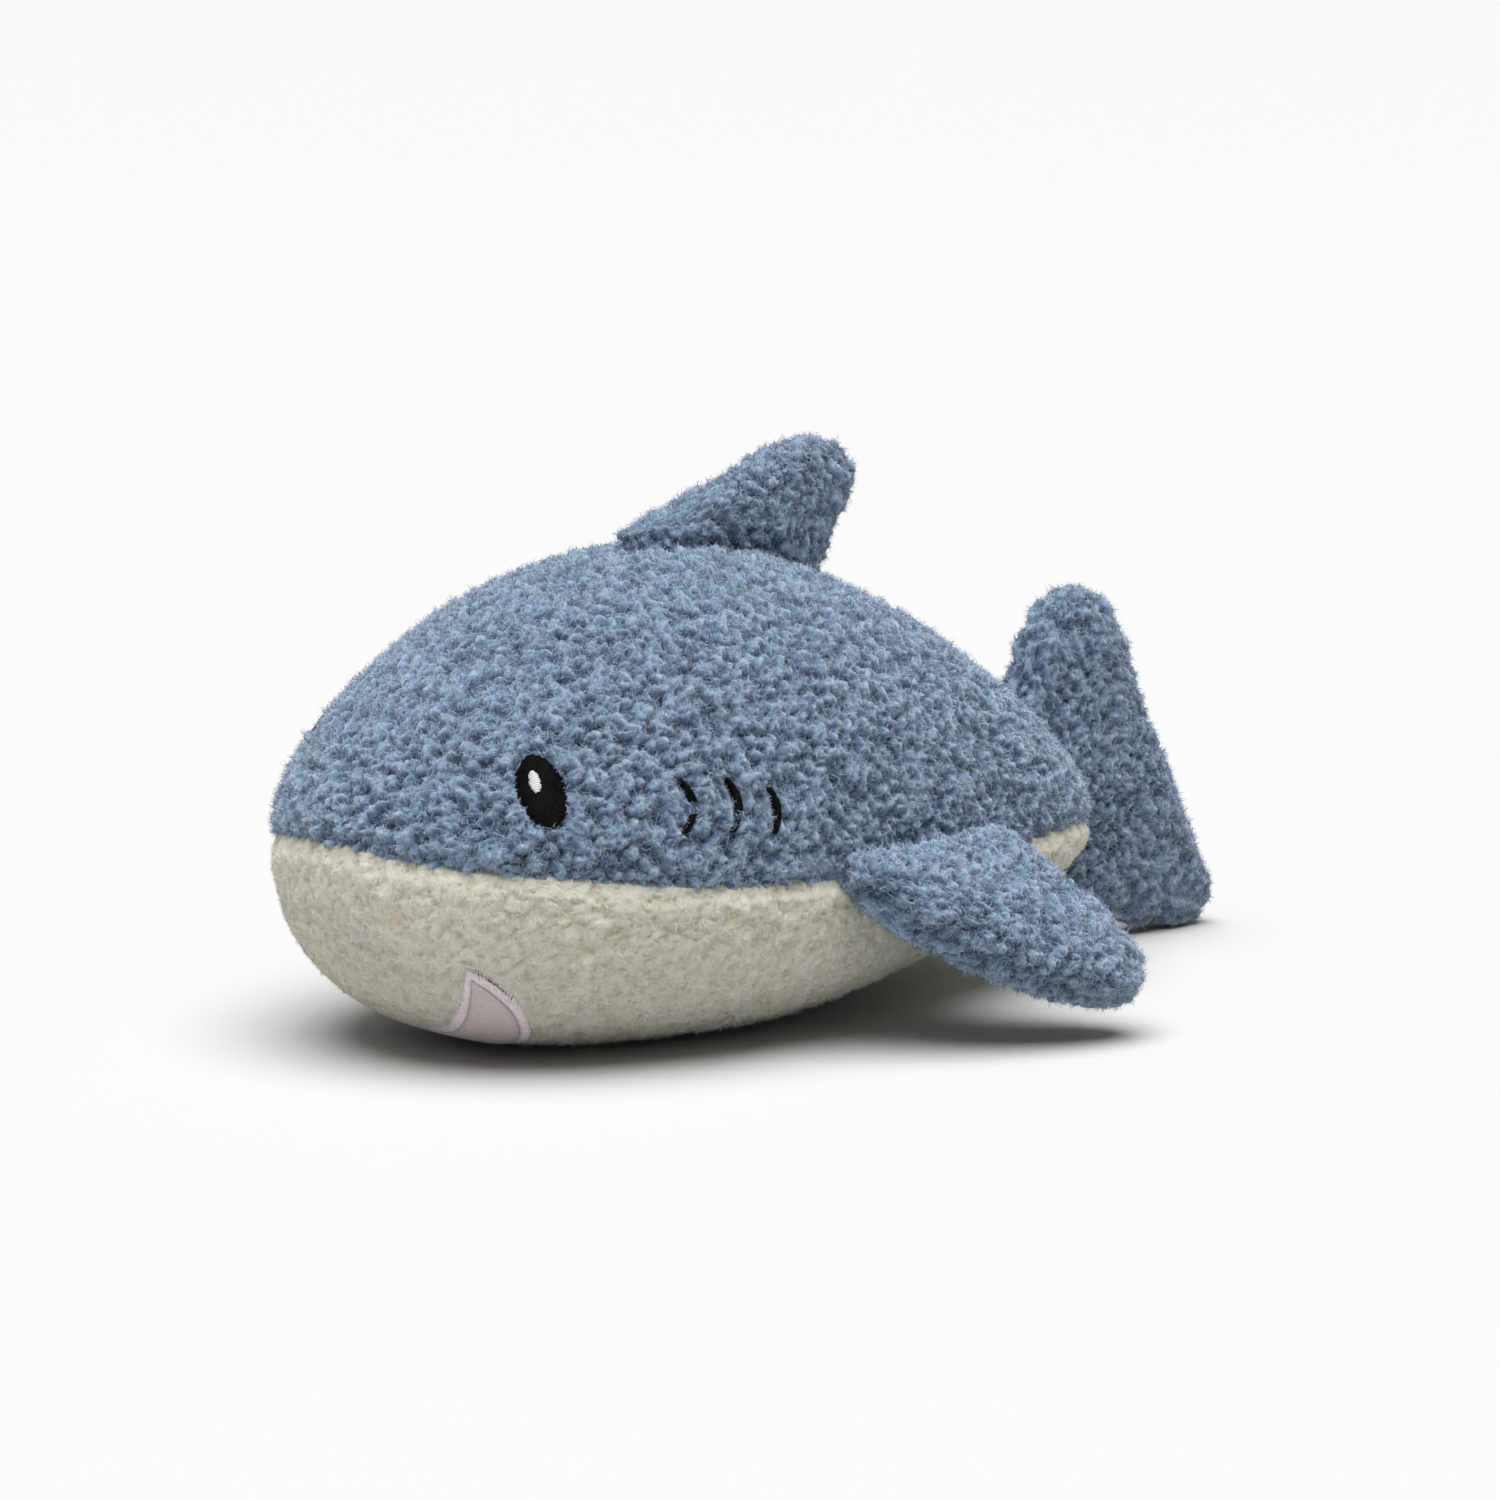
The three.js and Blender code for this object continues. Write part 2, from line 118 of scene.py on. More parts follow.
# Cloth colours between the curls (painted shade in the hollows), on them, and at their tips (painted
# highlight); then fibres from dark to pale.
BLUE_CLOTH_PAINTED_LIGHT = ((0.014, 0.03, 0.068), (0.094, 0.15, 0.244), (0.25, 0.347, 0.478))
CREAM_CLOTH_PAINTED_LIGHT = ((0.6, 0.545, 0.41), (0.66, 0.64, 0.54), (0.71, 0.70, 0.61))
BLUE_HAIRS = ((0.08, 0.13, 0.212), (0.185, 0.265, 0.385), (0.35, 0.455, 0.585))
CREAM_HAIRS = ((0.58, 0.525, 0.39), (0.69, 0.665, 0.56), (0.80, 0.79, 0.71))
PILE_SHEEN_ROUGHNESS = 0.4

THREAD_PITCH = 0.42 * MM
THREAD_RADIUS = 0.25 * MM
THREAD_STEPS = 9
THREAD_DIP = 0.9 * MM  # how far a stitch's ends go down into the cloth
FACE_PRESS = 0.8 * MM  # how far embroidery presses the cloth in
MOUTH_PRESS = 0.3 * MM

EYE = {"width": 9.5 * MM, "height": 15.1 * MM, "lean": 15.5, "lift": -0.8 * MM, "arch": 0.75 * MM}
EYE_LIGHT = {"width": 2.2 * MM, "height": 4.3 * MM, "forward": 0.7 * MM, "up": 1.9 * MM,
             "lift": 0.1 * MM, "arch": 0.3 * MM}

# Gill bars from the front one back. Curls lie over each by `cover` at the share `cover_at` of its
# height, and it has no stitches in the `bare` stretch.
GILLS = {
    "1": {"height": 10.5 * MM, "bulge": 2.4 * MM, "cover": 1.0, "cover_at": 0.45, "bare": (0.34, 0.56)},
    "2": {"height": 10.5 * MM, "bulge": 1.9 * MM, "cover": 0.6, "cover_at": 0.28, "bare": (0.24, 0.32)},
    "3": {"height": 9.0 * MM, "bulge": 1.3 * MM, "cover": 0.3, "cover_at": 0.2, "bare": (0, 0)},
}
GILL_COVER_REACH = 0.16
GILL_HALF_WIDTH = 0.9 * MM
GILL_LIFT = -0.95 * MM
GILL_ARCH = 0.55 * MM

# Mouth outline, half of it: distance from the middle plane, then distance up and forwards on a plane
# that faces forwards and down (3 : 4). Millimetres.
MOUTH_AT = (-88, 0, 0)
MOUTH_OUT = (-0.6, 0, -0.8)
MOUTH_UP = (-0.8, 0, 0.6)
MOUTH_LOWER = [(0, -3.5), (11, -2.6), (20.7, 0.1), (27.4, 7.4), (30.7, 13.7), (31.2, 19.8), (29.4, 25.2),
               (27.3, 27.2)]
MOUTH_UPPER = [(27.3, 27.2), (24.4, 22.6), (17.7, 16.5), (9, 10.8), (0, 8.8)]
FELT_LOWER = [(0, -1.2), (10, -0.5), (18.4, 1.6), (24.8, 6.6), (28.4, 12.9), (28.9, 19), (27.6, 24.4)]
FELT_UPPER = [(27.6, 24.4), (25.4, 21), (19.8, 15.2), (10, 9), (0, 6.6)]
BORDER_THREAD_RADIUS = 0.2 * MM
BORDER_LIFT = -0.3 * MM
BORDER_ARCH = 0.35 * MM
BORDER_OVERLAP = 0.12  # how far the border's stitches start inside the felt's edge
FELT_THICKNESS = 0.9 * MM

CAMERA_AT = Vector((-0.7239, -0.8323, 0.2221))
CAMERA_AIM = Vector((-0.0171, -0.0067, 0.0521))
CAMERA_LENS = 132.0
WORLD_STRENGTH = 0.24
SUN_STRENGTH = 5.5
SUN_SPREAD = 60
SUN_DIRECTION = Vector((0.14, 0.13, -1))
FLOOR_GREY = 0.5
FLOOR_HALF = 20.0


# ---------------------------------------------------------------- meshes from arrays

def new_mesh(name, points, faces, material):
    mesh = bpy.data.meshes.new(name)
    mesh.vertices.add(len(points))
    mesh.vertices.foreach_set("co", np.asarray(points, np.float32).ravel())
    faces = np.asarray(faces, np.int32)
    corners = faces.shape[1]
    mesh.loops.add(faces.size)
    mesh.loops.foreach_set("vertex_index", faces.ravel())
    mesh.polygons.add(len(faces))
    mesh.polygons.foreach_set("loop_start", np.arange(0, faces.size, corners, dtype=np.int32))
    mesh.polygons.foreach_set("use_smooth", np.ones(len(faces), bool))
    mesh.update(calc_edges=True)
    mesh.validate()
    mesh.materials.append(material)
    piece = bpy.data.objects.new(name, mesh)
    bpy.context.scene.collection.objects.link(piece)
    return piece


def unit(rows):
    return rows / np.linalg.norm(rows, axis=-1, keepdims=True)


def vertex_normals(points, faces):
    a, b, c, d = (points[faces[:, k]] for k in range(4))
    across = np.cross(c - a, d - b)
    total = np.zeros_like(points)
    for k in range(4):
        np.add.at(total, faces[:, k], across)
    return total / np.maximum(np.linalg.norm(total, axis=1, keepdims=True), 1e-12)


def sphere_cells(cells, keep):
    """Unit directions and quads of a cube blown up to a sphere, with its own number of cells along
    each axis, for the faces whose centre direction passes keep()."""
    directions = []
    quads = []
    start = 0
    for axis in range(3):
        first, second = [k for k in range(3) if k != axis]
        u, v = (np.tan(np.linspace(-1, 1, cells[k] + 1) * math.pi / 4) for k in (first, second))
        for sign in (-1, 1):
            grid = np.empty((len(u), len(v), 3))
            grid[..., axis] = sign
            grid[..., first] = u[:, None]
            grid[..., second] = v[None, :]
            index = start + np.arange(grid[..., 0].size).reshape(len(u), len(v))
            quad = np.stack([index[:-1, :-1], index[1:, :-1], index[1:, 1:], index[:-1, 1:]], -1)
            quad = quad.reshape(-1, 4)
            if (sign > 0) == (axis == 1):
                quad = quad[:, ::-1]
            directions.append(grid.reshape(-1, 3))
            quads.append(quad)
            start += index.size
    directions = unit(np.concatenate(directions))
    quads = np.concatenate(quads)
    quads = quads[keep(directions[quads].mean(1))]
    used, quads = np.unique(quads, return_inverse=True)
    _, once, back = np.unique(np.round(directions[used] * 1e6).astype(np.int64), axis=0,
                              return_index=True, return_inverse=True)
    return directions[used][once], back.reshape(-1)[quads.reshape(-1, 4)]


# ---------------------------------------------------------------- the frame's surfaces

def node_points(*names):
    found = [np.array([v.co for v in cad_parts[n].data.vertices], float) for n in names]
    return np.unique(np.round(np.concatenate(found), 7), axis=0)


def node_tree(*names):
    points = []
    faces = []
    for name in names:
        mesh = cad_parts[name].data
        faces += [[len(points) + i for i in face.vertices] for face in mesh.polygons]
        points += [v.co.copy() for v in mesh.vertices]
    return BVHTree.FromPolygons(points, faces)


def node_box(node):
    return [np.array(corner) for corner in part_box(node)]


def close_to(points, node, margin):
    """The numbers of the points that are within a margin of a node's box."""
    low, high = node_box(node)
    return np.flatnonzero(np.all((points > low - margin) & (points < high + margin), axis=1))


def everywhere(directions):
    return directions[:, 0] < 2


def catmull_rom(a, b, c, d, f):
    return b + 0.5 * f * (c - a + f * (2 * a - 5 * b + 4 * c - d + f * (3 * (b - c) + d - a)))


def smooth_steps(rows, place):
    """Catmull-Rom between rows, at fractional row numbers; rows must reach one past each end."""
    first = np.clip(np.floor(place).astype(int), 1, len(rows) - 3)
    f = (place - first).reshape(-1, *([1] * (rows.ndim - 1)))
    return catmull_rom(*(rows[first + k] for k in (-1, 0, 1, 2)), f)


class BodySurface:
    """The body's outer surface, read off the CAD panels and smoothed between their facets."""

    STATIONS = 28
    TURNS = 28
    OUTSIDE = 0.2  # metres from the middle, clear of the body
    RIM_SLICE = 1.0 * MM

    def __init__(self):
        panels = ("upper_panel_left", "upper_panel_right", "belly_panel")
        tree = node_tree(*panels)
        points = node_points(*panels)
        rim = node_points("belly_panel")
        low, high = points[:, 0].min(), points[:, 0].max()
        self.middle = (low + high) / 2
        self.reach = (high - low) / 2
        angles = (np.arange(self.TURNS) + 0.5) / self.TURNS * 2 * math.pi
        seam = []
        spread = []
        for i in range(1, self.STATIONS):
            theta = math.pi * i / self.STATIONS
            x = self.middle - self.reach * math.cos(theta)
            near = rim[np.abs(rim[:, 0] - x) < self.RIM_SLICE]
            height = near[:, 2].max()
            seam.append(height)
            row = []
            for angle in angles:
                out = Vector((0, math.cos(angle), math.sin(angle)))
                axis_point = Vector((x, 0, height))
                hit = tree.ray_cast(axis_point + self.OUTSIDE * out, -out)[0]
                row.append((hit - axis_point).length / math.sin(theta))
            spread.append(row)
        ends = [rim[np.argmin(rim[:, 0])][2], rim[np.argmax(rim[:, 0])][2]]
        self.seam = np.array([2 * ends[0] - seam[0], ends[0], *seam, ends[1], 2 * ends[1] - seam[-1]])
        rows = np.array(spread)
        self.spread = np.concatenate([rows[1:2], rows[:1], rows, rows[-1:], rows[-2:-1]])

    def at(self, directions):
        theta = np.arccos(np.clip(-directions[:, 0], -1, 1))
        turn = np.arctan2(directions[:, 2], directions[:, 1]) / (2 * math.pi)
        station = theta / math.pi * self.STATIONS + 1
        rows = smooth_steps(self.spread, station)
        place = (turn * self.TURNS - 0.5) % self.TURNS
        first = np.floor(place).astype(int)
        f = place - first
        each = np.arange(len(directions))
        ratio = catmull_rom(*(rows[each, (first + k) % self.TURNS] for k in (-1, 0, 1, 2)), f)
        radius = ratio * np.sin(theta)
        seam = smooth_steps(self.seam, station)
        angle = turn * 2 * math.pi
        return np.stack([
            self.middle - self.reach * np.cos(theta),
            radius * np.cos(angle),
            np.maximum(seam + radius * np.sin(angle), 0),
        ], -1)


body_surface = BodySurface()


def body_tree():
    directions, quads = sphere_cells(BODY_TREE_CELLS, everywhere)
    points = body_surface.at(directions)
    return BVHTree.FromPolygons([Vector(p) for p in points], quads.tolist())


BODY_TREE = body_tree()
BODY_MIDDLE = np.array([body_surface.middle, 0, BODY_MIDDLE_HEIGHT])


# ---------------------------------------------------------------- boucle pile

def quad_areas(points, quads):
    corners = points[quads]
    across = np.cross(corners[:, 2] - corners[:, 0], corners[:, 3] - corners[:, 1])
    return np.linalg.norm(across, axis=1) / 2


def strewn(points, quads, normals, areas, count, random):
    """Places and normals spread evenly over a surface."""
    quad = random.choice(len(quads), count, p=areas / areas.sum())
    share = random.dirichlet([1, 1, 1, 1], count)[:, :, None]
    return (points[quads[quad]] * share).sum(1), unit((normals[quads[quad]] * share).sum(1))


def bead_chains(points, quads, normals, kind, random):
    """Centres, radii, heights and tints of the beads that make up short bent chains, strewn evenly."""
    radius, beads = kind["radius"], kind["beads"]
    step = BEAD_STEP * radius
    footprint = math.pi * radius * radius + 2 * radius * step * (beads - 1)
    areas = quad_areas(points, quads)
    count = int(kind["cover"] * areas.sum() / footprint)
    centre, normal = strewn(points, quads, normals, areas, count, random)
    heading = unit(np.cross(normal, random.normal(size=(count, 3))))
    bend = random.normal(0, 0.9, (count, 1))
    lift = random.normal(0, 0.3 * radius, count)
    size = radius * random.uniform(0.75, 1.2, count)
    tint = random.uniform(0, 1, count)
    chains = []
    for k in range(beads):
        arch = 0.35 * radius * math.sin(math.pi * (k + 0.5) / beads)
        chains.append(np.column_stack([centre, size, lift + arch, tint]))
        centre = centre + heading * (size * BEAD_STEP)[:, None]
        heading = unit(heading + np.cross(normal, heading) * bend)
    return np.concatenate(chains)


def bead_heights(points, beads, rise):
    """How high the topmost bead stands over each point, and that bead's tint."""
    tree = KDTree(len(beads))
    for i, centre in enumerate(beads[:, :3]):
        tree.insert(centre, i)
    tree.balance()
    reach = beads[:, 3].max()
    radii, lifts, colours = beads[:, 3].tolist(), beads[:, 4].tolist(), beads[:, 5].tolist()
    heights = np.empty(len(points))
    tints = np.empty(len(points))
    for i, point in enumerate(points):
        best = -BEAD_SUNK * reach
        tint = 0.5
        for _, k, distance in tree.find_range(point, reach):
            radius = radii[k]
            if distance < radius:
                height = lifts[k] + math.sqrt(radius * radius - distance * distance) - radius * BEAD_SUNK
                if height > best:
                    best = height
                    tint = colours[k]
        heights[i] = rise * best
        tints[i] = tint
    return heights, tints


def piled(points, quads, pile, seed, calm, sunk):
    """The points of a cloth surface moved out to the top of its pile, with how far up the pile each
    one is and the tint of its curl. calm (0 to 1) flattens the pile and sunk moves points inwards."""
    random = np.random.default_rng(seed)
    normals = vertex_normals(points, quads)
    beads = bead_chains(points, quads, normals, pile["tuft"], random)
    tufts = bead_heights(points, beads, pile["tuft"]["rise"])[0]
    beads = bead_chains(points, quads, normals, pile["curl"], random)
    curls, tints = bead_heights(points, beads, pile["curl"]["rise"])
    tufts = soften(tufts, quads, 4)
    heights = tufts + curls
    low, high = np.percentile(heights, 2), np.percentile(heights, 98)
    share = (heights - low) / (high - low)
    heights = heights - heights.mean() + random.normal(0, pile["fibre"], len(points))
    heights = heights * (1 - calm) + pile["base"] - sunk
    placed = points + normals * heights[:, None]
    placed[:, 2] = np.maximum(placed[:, 2], FLOOR_GAP)
    return placed, np.clip(share, 0, 1), tints


def soften(values, quads, passes):
    for _ in range(passes):
        total = np.zeros(len(values))
        count = np.zeros(len(values))
        mean = values[quads].mean(1)
        for k in range(4):
            np.add.at(total, quads[:, k], mean)
            np.add.at(count, quads[:, k], 1)
        values = 0.5 * values + 0.5 * total / np.maximum(count, 1)
    return values


def cut(name, points, quads, share, tints, kept, made):
    """The part of a piled surface whose quads are kept, as a cloth piece."""
    used, corners = np.unique(quads[kept], return_inverse=True)
    piece = new_mesh(name, points[used], corners.reshape(-1, 4), made)
    # how far up the pile each point is; the cloth materials paint shade low down and a highlight high up
    # from it
    add_attribute(piece, "pile", share[used])
    add_attribute(piece, "tint", tints[used])
    return piece


def add_attribute(piece, name, values):
    attribute = piece.data.attributes.new(name, "FLOAT", "POINT")
    attribute.data.foreach_set("value", np.asarray(values, np.float32))


def fuzz(name, points, quads, seed, kind, shades):
    """Loose fibres: narrow bent ribbons that rise out of the pile and curl back towards it."""
    random = np.random.default_rng(seed)
    normals = vertex_normals(points, quads)
    areas = quad_areas(points, quads)
    count = int(areas.sum() / MM**2 * kind["per_mm2"])
    foot, up = strewn(points, quads, normals, areas, count, random)
    heading = unit(np.cross(up, random.normal(size=(count, 3))))
    size = random.uniform(0.6, 1.25, (count, 1))
    curl = random.normal(0, 0.9, (count, 1))
    path = [foot - 0.1 * MM * up]
    for rise in FIBRE_RISES:
        step = heading * kind["length"] / 2 + up * kind["rise"] * rise
        path.append(path[-1] + step * size)
        heading = unit(heading + np.cross(up, heading) * curl)
    vertices = []
    for k, width in enumerate(FIBRE_WIDTHS):
        along = path[min(k + 1, 2)] - path[max(k - 1, 0)]
        side = np.cross(along, up)
        length = np.maximum(np.linalg.norm(side, axis=1, keepdims=True), 1e-9)
        side *= kind["width"] * width / 2 / length
        vertices += [path[k] - side, path[k] + side]
    vertices = np.stack(vertices, 1).reshape(-1, 3)
    vertices[:, 2] = np.maximum(vertices[:, 2], FLOOR_GAP)
    start = np.arange(count)[:, None, None] * 6 + np.arange(2)[None, :, None] * 2
    faces = (start + np.array([0, 1, 3, 2])).reshape(-1, 4)
    piece = new_mesh(name, vertices, faces, shades[0])
    for shade in shades[1:]:
        piece.data.materials.append(shade)
    which = random.integers(0, len(shades), count).repeat(2)
    piece.data.polygons.foreach_set("material_index", which.astype(np.int32))
    return piece


# ---------------------------------------------------------------- materials

def material(name, roughness, sheen=0.0, sheen_roughness=0.5, sheen_tint=(1, 1, 1, 1)):
    made = bpy.data.materials.new(name)
    made.use_nodes = True
    shader = made.node_tree.nodes["Principled BSDF"]
    shader.inputs["Roughness"].default_value = roughness
    shader.inputs["Sheen Weight"].default_value = sheen
    shader.inputs["Sheen Roughness"].default_value = sheen_roughness
    shader.inputs["Sheen Tint"].default_value = sheen_tint
    shader.inputs["Specular IOR Level"].default_value = 0.25
    return made, made.node_tree, shader


def noise(tree, scale, detail=3.0, roughness=0.6):
    coordinates = tree.nodes.new("ShaderNodeTexCoord")
    node = tree.nodes.new("ShaderNodeTexNoise")
    node.inputs["Scale"].default_value = scale
    node.inputs["Detail"].default_value = detail
    node.inputs["Roughness"].default_value = roughness
    tree.links.new(coordinates.outputs["Object"], node.inputs["Vector"])
    return node.outputs["Fac"]


def ramp(tree, value, *stops):
    node = tree.nodes.new("ShaderNodeValToRGB")
    elements = node.color_ramp.elements
    while len(elements) < len(stops):
        elements.new(0.5)
    for element, (position, colour) in zip(elements, stops):
        element.position = position
        element.color = (*colour, 1)
    tree.links.new(value, node.inputs["Fac"])
    return node.outputs["Color"]


def multiplied(tree, first, second):
    node = tree.nodes.new("ShaderNodeMix")
    node.data_type = "RGBA"
    node.blend_type = "MULTIPLY"
    node.inputs["Factor"].default_value = 1.0
    tree.links.new(first, node.inputs["A"])
    tree.links.new(second, node.inputs["B"])
    return node.outputs["Result"]


def attribute(tree, name):
    node = tree.nodes.new("ShaderNodeAttribute")
    node.attribute_name = name
    return node.outputs["Fac"]


def add_bump(tree, shader, height, strength, distance):
    bump = tree.nodes.new("ShaderNodeBump")
    bump.inputs["Strength"].default_value = strength
    bump.inputs["Distance"].default_value = distance
    tree.links.new(height, bump.inputs["Height"])
    tree.links.new(bump.outputs["Normal"], shader.inputs["Normal"])


def boucle_material(name, colours, curls, flecks, sheen, sheen_tint):
    """Painted shade between the curls and a painted highlight at their tips, each curl a little lighter or
    darker, flecked.
    """
    painted_shade, middle, painted_highlight = colours
    made, tree, shader = material(name, 0.92, sheen=sheen, sheen_roughness=PILE_SHEEN_ROUGHNESS,
                                  sheen_tint=sheen_tint)
    # pile height turns into painted shade low in the pile and a painted highlight at the curl tips
    colour = ramp(tree, attribute(tree, "pile"), (0.04, painted_shade), (0.45, middle), (0.95, painted_highlight))
    by_curl = ramp(tree, attribute(tree, "tint"), (0.0, (1 - curls,) * 3), (1.0, (1 + curls,) * 3))
    patches = ramp(tree, noise(tree, 70, 2), (0.3, (0.93, 0.94, 0.95)), (0.7, (1.05, 1.05, 1.04)))
    fine = ramp(tree, noise(tree, 1500, 4, 0.75), (0.3, (1 - flecks,) * 3), (0.7, (1 + flecks,) * 3))
    for shade in (by_curl, patches, fine):
        colour = multiplied(tree, colour, shade)
    tree.links.new(colour, shader.inputs["Base Color"])
    add_bump(tree, shader, noise(tree, 3200, 4, 0.8), 0.9, 0.35 * MM)
    return made


def fibre_shades(name, colours):
    shades = []
    for k, colour in enumerate(colours):
        made, _, shader = material(f"{name}_{k + 1}", 0.8, sheen=1.0, sheen_roughness=PILE_SHEEN_ROUGHNESS)
        shader.inputs["Base Color"].default_value = (*colour, 1)
        shades.append(made)
    return shades


def thread_material(name, colour, sheen):
    made, tree, shader = material(name, 0.5, sheen=sheen, sheen_roughness=0.3)
    shader.inputs["Specular IOR Level"].default_value = 0.03
    light = tuple(min(1, c * 1.25 + 0.004) for c in colour)
    shade = ramp(tree, noise(tree, 700, 2), (0.3, colour), (0.7, light))
    tree.links.new(shade, shader.inputs["Base Color"])
    add_bump(tree, shader, noise(tree, 5000, 2), 0.3, 0.08 * MM)
    return made


def felt_material():
    made, tree, shader = material("pink_felt", 0.95, sheen=0.3, sheen_roughness=0.5)
    felted = noise(tree, 900, 4, 0.7)
    colour = ramp(tree, felted, (0.3, (0.5, 0.42, 0.415)), (0.7, (0.61, 0.525, 0.515)))
    tree.links.new(colour, shader.inputs["Base Color"])
    add_bump(tree, shader, noise(tree, 2200, 5, 0.8), 0.6, 0.25 * MM)
    return made


def fibre_material():
    made, tree, shader = material("polyester_fill", 0.8, sheen=0.2)
    colour = ramp(tree, noise(tree, 300, 4), (0.3, (0.72, 0.72, 0.70)), (0.7, (0.9, 0.9, 0.88)))
    tree.links.new(colour, shader.inputs["Base Color"])
    add_bump(tree, shader, noise(tree, 800, 5, 0.8), 0.8, 0.6 * MM)
    return made


BLUE = boucle_material("blue_boucle", BLUE_CLOTH_PAINTED_LIGHT, curls=0.2, flecks=0.35, sheen=1.0,
                       sheen_tint=(0.86, 0.93, 1.0, 1))
CREAM = boucle_material("cream_boucle", CREAM_CLOTH_PAINTED_LIGHT, curls=0.03, flecks=0.04, sheen=0.25,
                        sheen_tint=(1.0, 0.98, 0.92, 1))
BLUE_FIBRES = fibre_shades("blue_fibre", BLUE_HAIRS)
CREAM_FIBRES = fibre_shades("cream_fibre", CREAM_HAIRS)
BLACK_THREAD = thread_material("black_thread", (0.0025, 0.0025, 0.003), 0.0)
WHITE_THREAD = thread_material("white_thread", (0.5, 0.5, 0.51), 0.05)
LILAC_THREAD = thread_material("lilac_thread", (0.68, 0.615, 0.63), 0.1)
FELT = felt_material()
FIBRE = fibre_material()


# ---------------------------------------------------------------- body

def seam_sink(distance, depth):
    """How far the cloth turns in beside a seam. Distances past the seam are negative."""
    beside = depth * np.exp(-((distance / SEAM_REACH) ** 2))
    return np.where(distance < 0, depth - 1.5 * distance, beside)


def stitched_share(points, nodes):
    """1 under a patch of embroidery, falling to 0 beside it. Curls lie over parts of the gill bars."""
    edge, fall = 0.95 * MM, 0.5 * MM
    tree = node_tree(*nodes)
    share = np.zeros(len(points))
    for node in nodes:
        low, high = node_box(node)
        gill = GILLS[node.split("_")[1]] if node.startswith("gill") else None
        for i in close_to(points, node, 4 * MM):
            distance = tree.find_nearest(Vector(points[i]))[3]
            under = min(1.0, max(0.0, (edge - distance) / fall))
            if gill:
                up = (points[i, 2] - low[2]) / (high[2] - low[2])
                under *= 1 - gill["cover"] * math.exp(-((up - gill["cover_at"]) / GILL_COVER_REACH) ** 2)
            share[i] = max(share[i], under)
    return share


def body_cloth(side, cells, pile, seed, stitched, press):
    """The body's surface above (+1) or below (-1) the side seam, with its pile and a turned-in edge.
    Embroidery presses it in by `press`."""
    directions, quads = sphere_cells(cells, lambda d: side * d[:, 2] > -SEAM_LIP)
    points = body_surface.at(directions)
    calm = stitched_share(points, stitched)
    past = side * directions[:, 2] * BODY_GIRTH
    sunk = seam_sink(past, SEAM_DEPTH) + press * calm
    if side > 0:
        sunk = np.maximum(sunk, seam_sink(np.abs(directions[:, 1]) * BODY_GIRTH, BACK_SEAM_DEPTH))
    calm = np.maximum(0.85 * calm, past < 0)
    return directions, quads, *piled(points, quads, pile, seed, calm, sunk)


def clear(directions, points, quads, side, nodes):
    """Quads on the outside of the cloth and away from the embroidery."""
    middles = points[quads].mean(1)
    found = side * directions[quads].mean(1)[:, 2] > 0.004
    tree = node_tree(*nodes)
    for node in nodes:
        for i in close_to(middles, node, 3 * MM):
            found[i] &= tree.find_nearest(Vector(middles[i]))[3] > 1.0 * MM
    return found


def on_body(piece, node):
    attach(piece, "body")
    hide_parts(node)


MOUTH_NODES = ["mouth_border", "mouth_felt"]
FACE = [f"{n}_{side}" for n in ("eye", "gill_1", "gill_2", "gill_3") for side in ("left", "right")]


def back():
    directions, quads, points, share, tints = body_cloth(1, BODY_CELLS["upper"], BLUE_PILE, SEEDS["back"],
                                                         FACE, FACE_PRESS)
    middles = directions[quads].mean(1)
    for side, sign in (("left", -1), ("right", 1)):
        kept = sign * middles[:, 1] > 0
        cloth = cut(f"back_{side}", points, quads, share, tints, kept, BLUE)
        on_body(cloth, f"upper_panel_{side}")
        loose = kept & clear(directions, points, quads, 1, FACE)
        fibres = fuzz(f"back_fibres_{side}", points, quads[loose], SEEDS["back_fibres"] + sign, BLUE_FUZZ,
                      BLUE_FIBRES)
        on_body(fibres, f"upper_panel_{side}")


def belly():
    directions, quads, points, share, tints = body_cloth(-1, BODY_CELLS["belly"], CREAM_PILE, SEEDS["belly"],
                                                         MOUTH_NODES, MOUTH_PRESS)
    everything = np.ones(len(quads), bool)
    cloth = cut("belly", points, quads, share, tints, everything, CREAM)
    on_body(cloth, "belly_panel")
    loose = clear(directions, points, quads, -1, MOUTH_NODES)
    fibres = fuzz("belly_fibres", points, quads[loose], SEEDS["belly_fibres"], CREAM_FUZZ, CREAM_FIBRES)
    on_body(fibres, "belly_panel")


back()
belly()


# ---------------------------------------------------------------- fins

